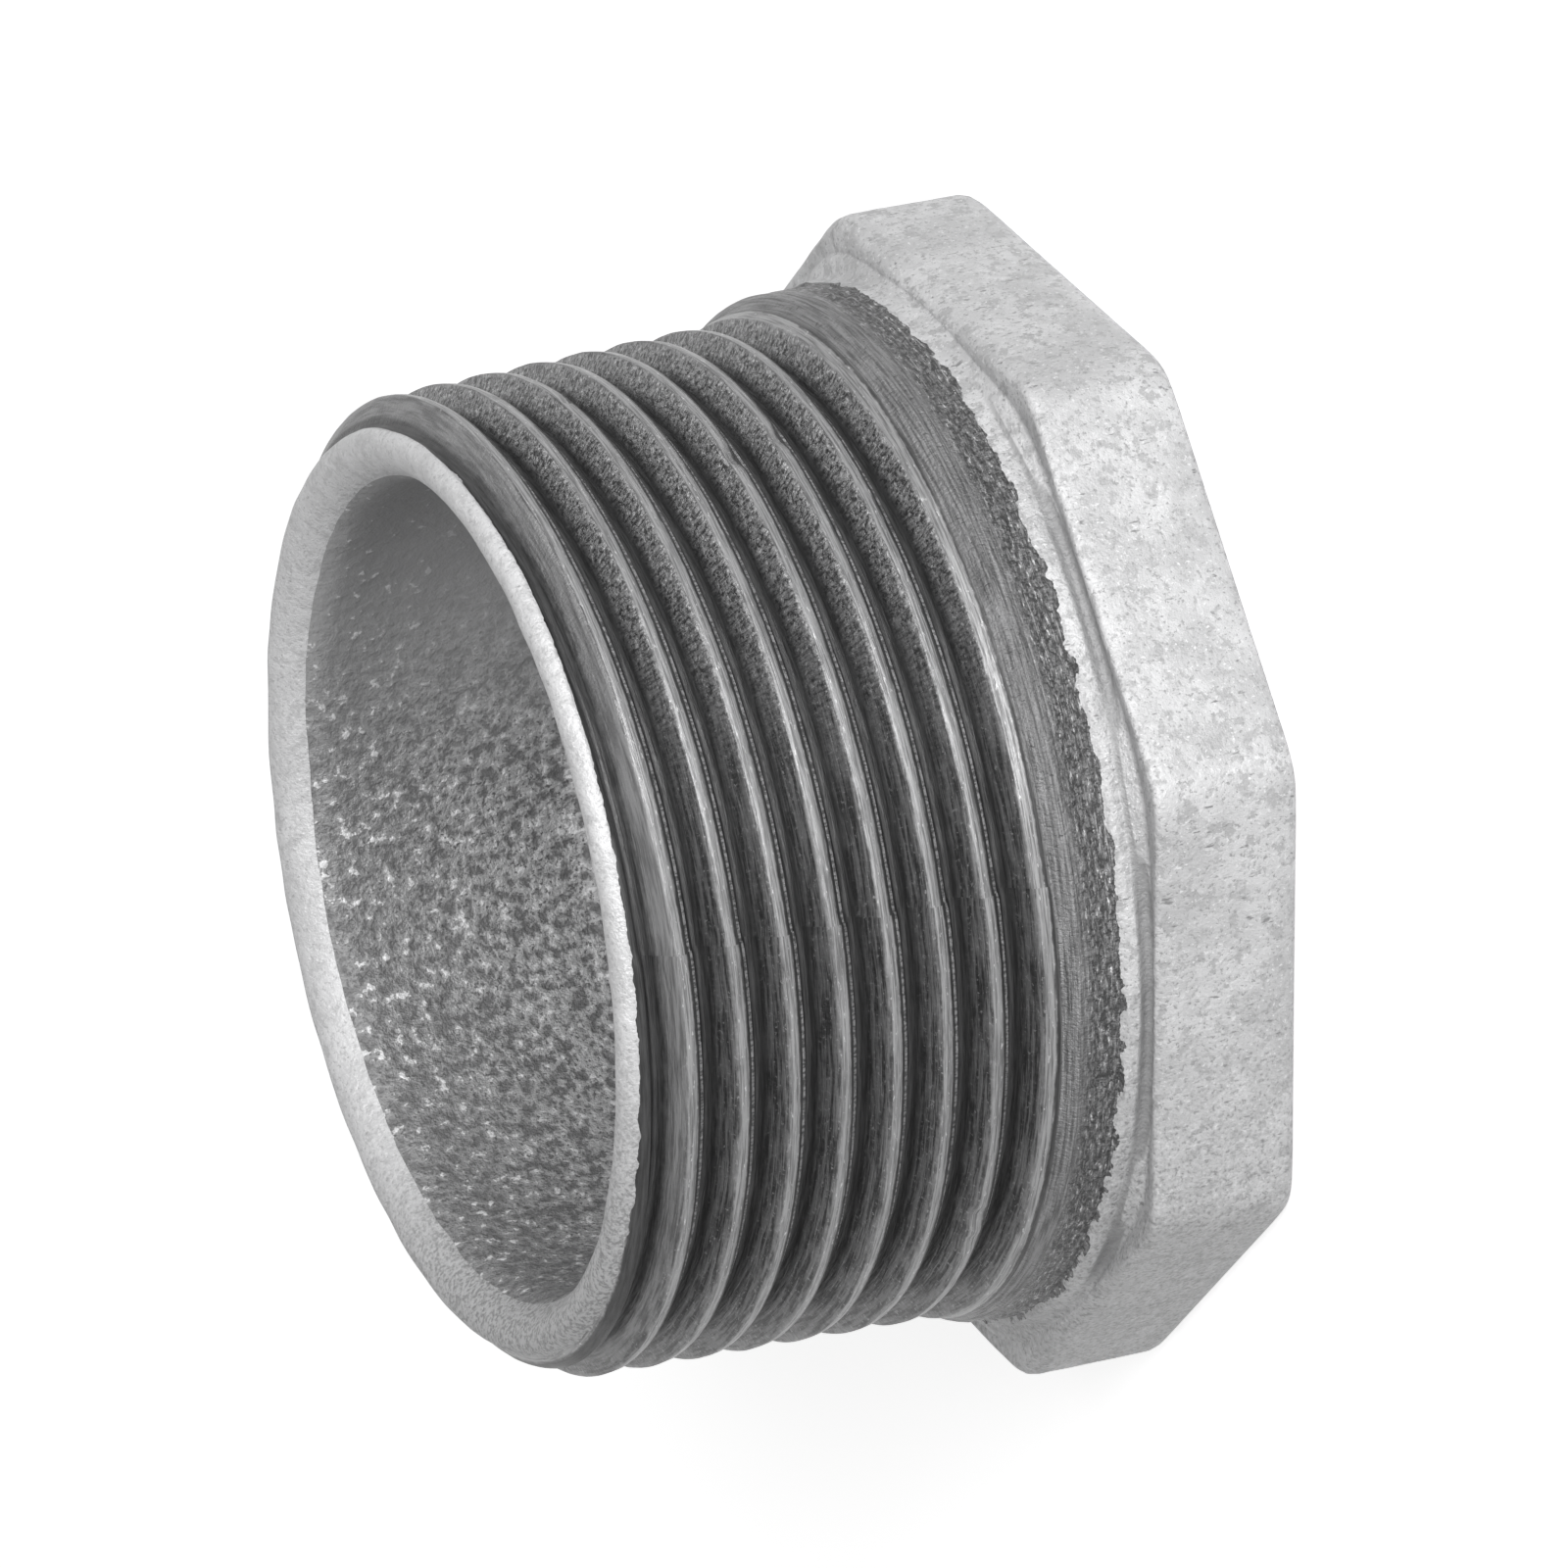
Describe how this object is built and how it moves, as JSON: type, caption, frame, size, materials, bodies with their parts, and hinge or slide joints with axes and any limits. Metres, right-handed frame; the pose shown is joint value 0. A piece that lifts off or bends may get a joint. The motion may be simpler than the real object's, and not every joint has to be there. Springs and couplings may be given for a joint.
{
  "type": "reducing pipe bushing",
  "caption": "Galvanized malleable-iron reducing bushing: octagonal wrench head, tapered male pipe thread, tapped bore through the head and a cored bore behind it",
  "frame": {"origin": "centre of the wrench head's outer face, which the bushing stands on", "axes": "+Z runs along the pipe axis from the head to the tail end of the male thread; +X is the outward normal of one of the head's eight flats; +Y is the normal of the flat a quarter turn on"},
  "size_m": [0.0456, 0.0456, 0.0284],
  "materials": {
    "galvanized_iron": "hot-dip zinc coat with a faint spangle; the male thread is cut through to bare grey iron"
  },
  "bodies": {
    "root": {"bushing": "galvanized_iron"}
  },
  "joints": []
}
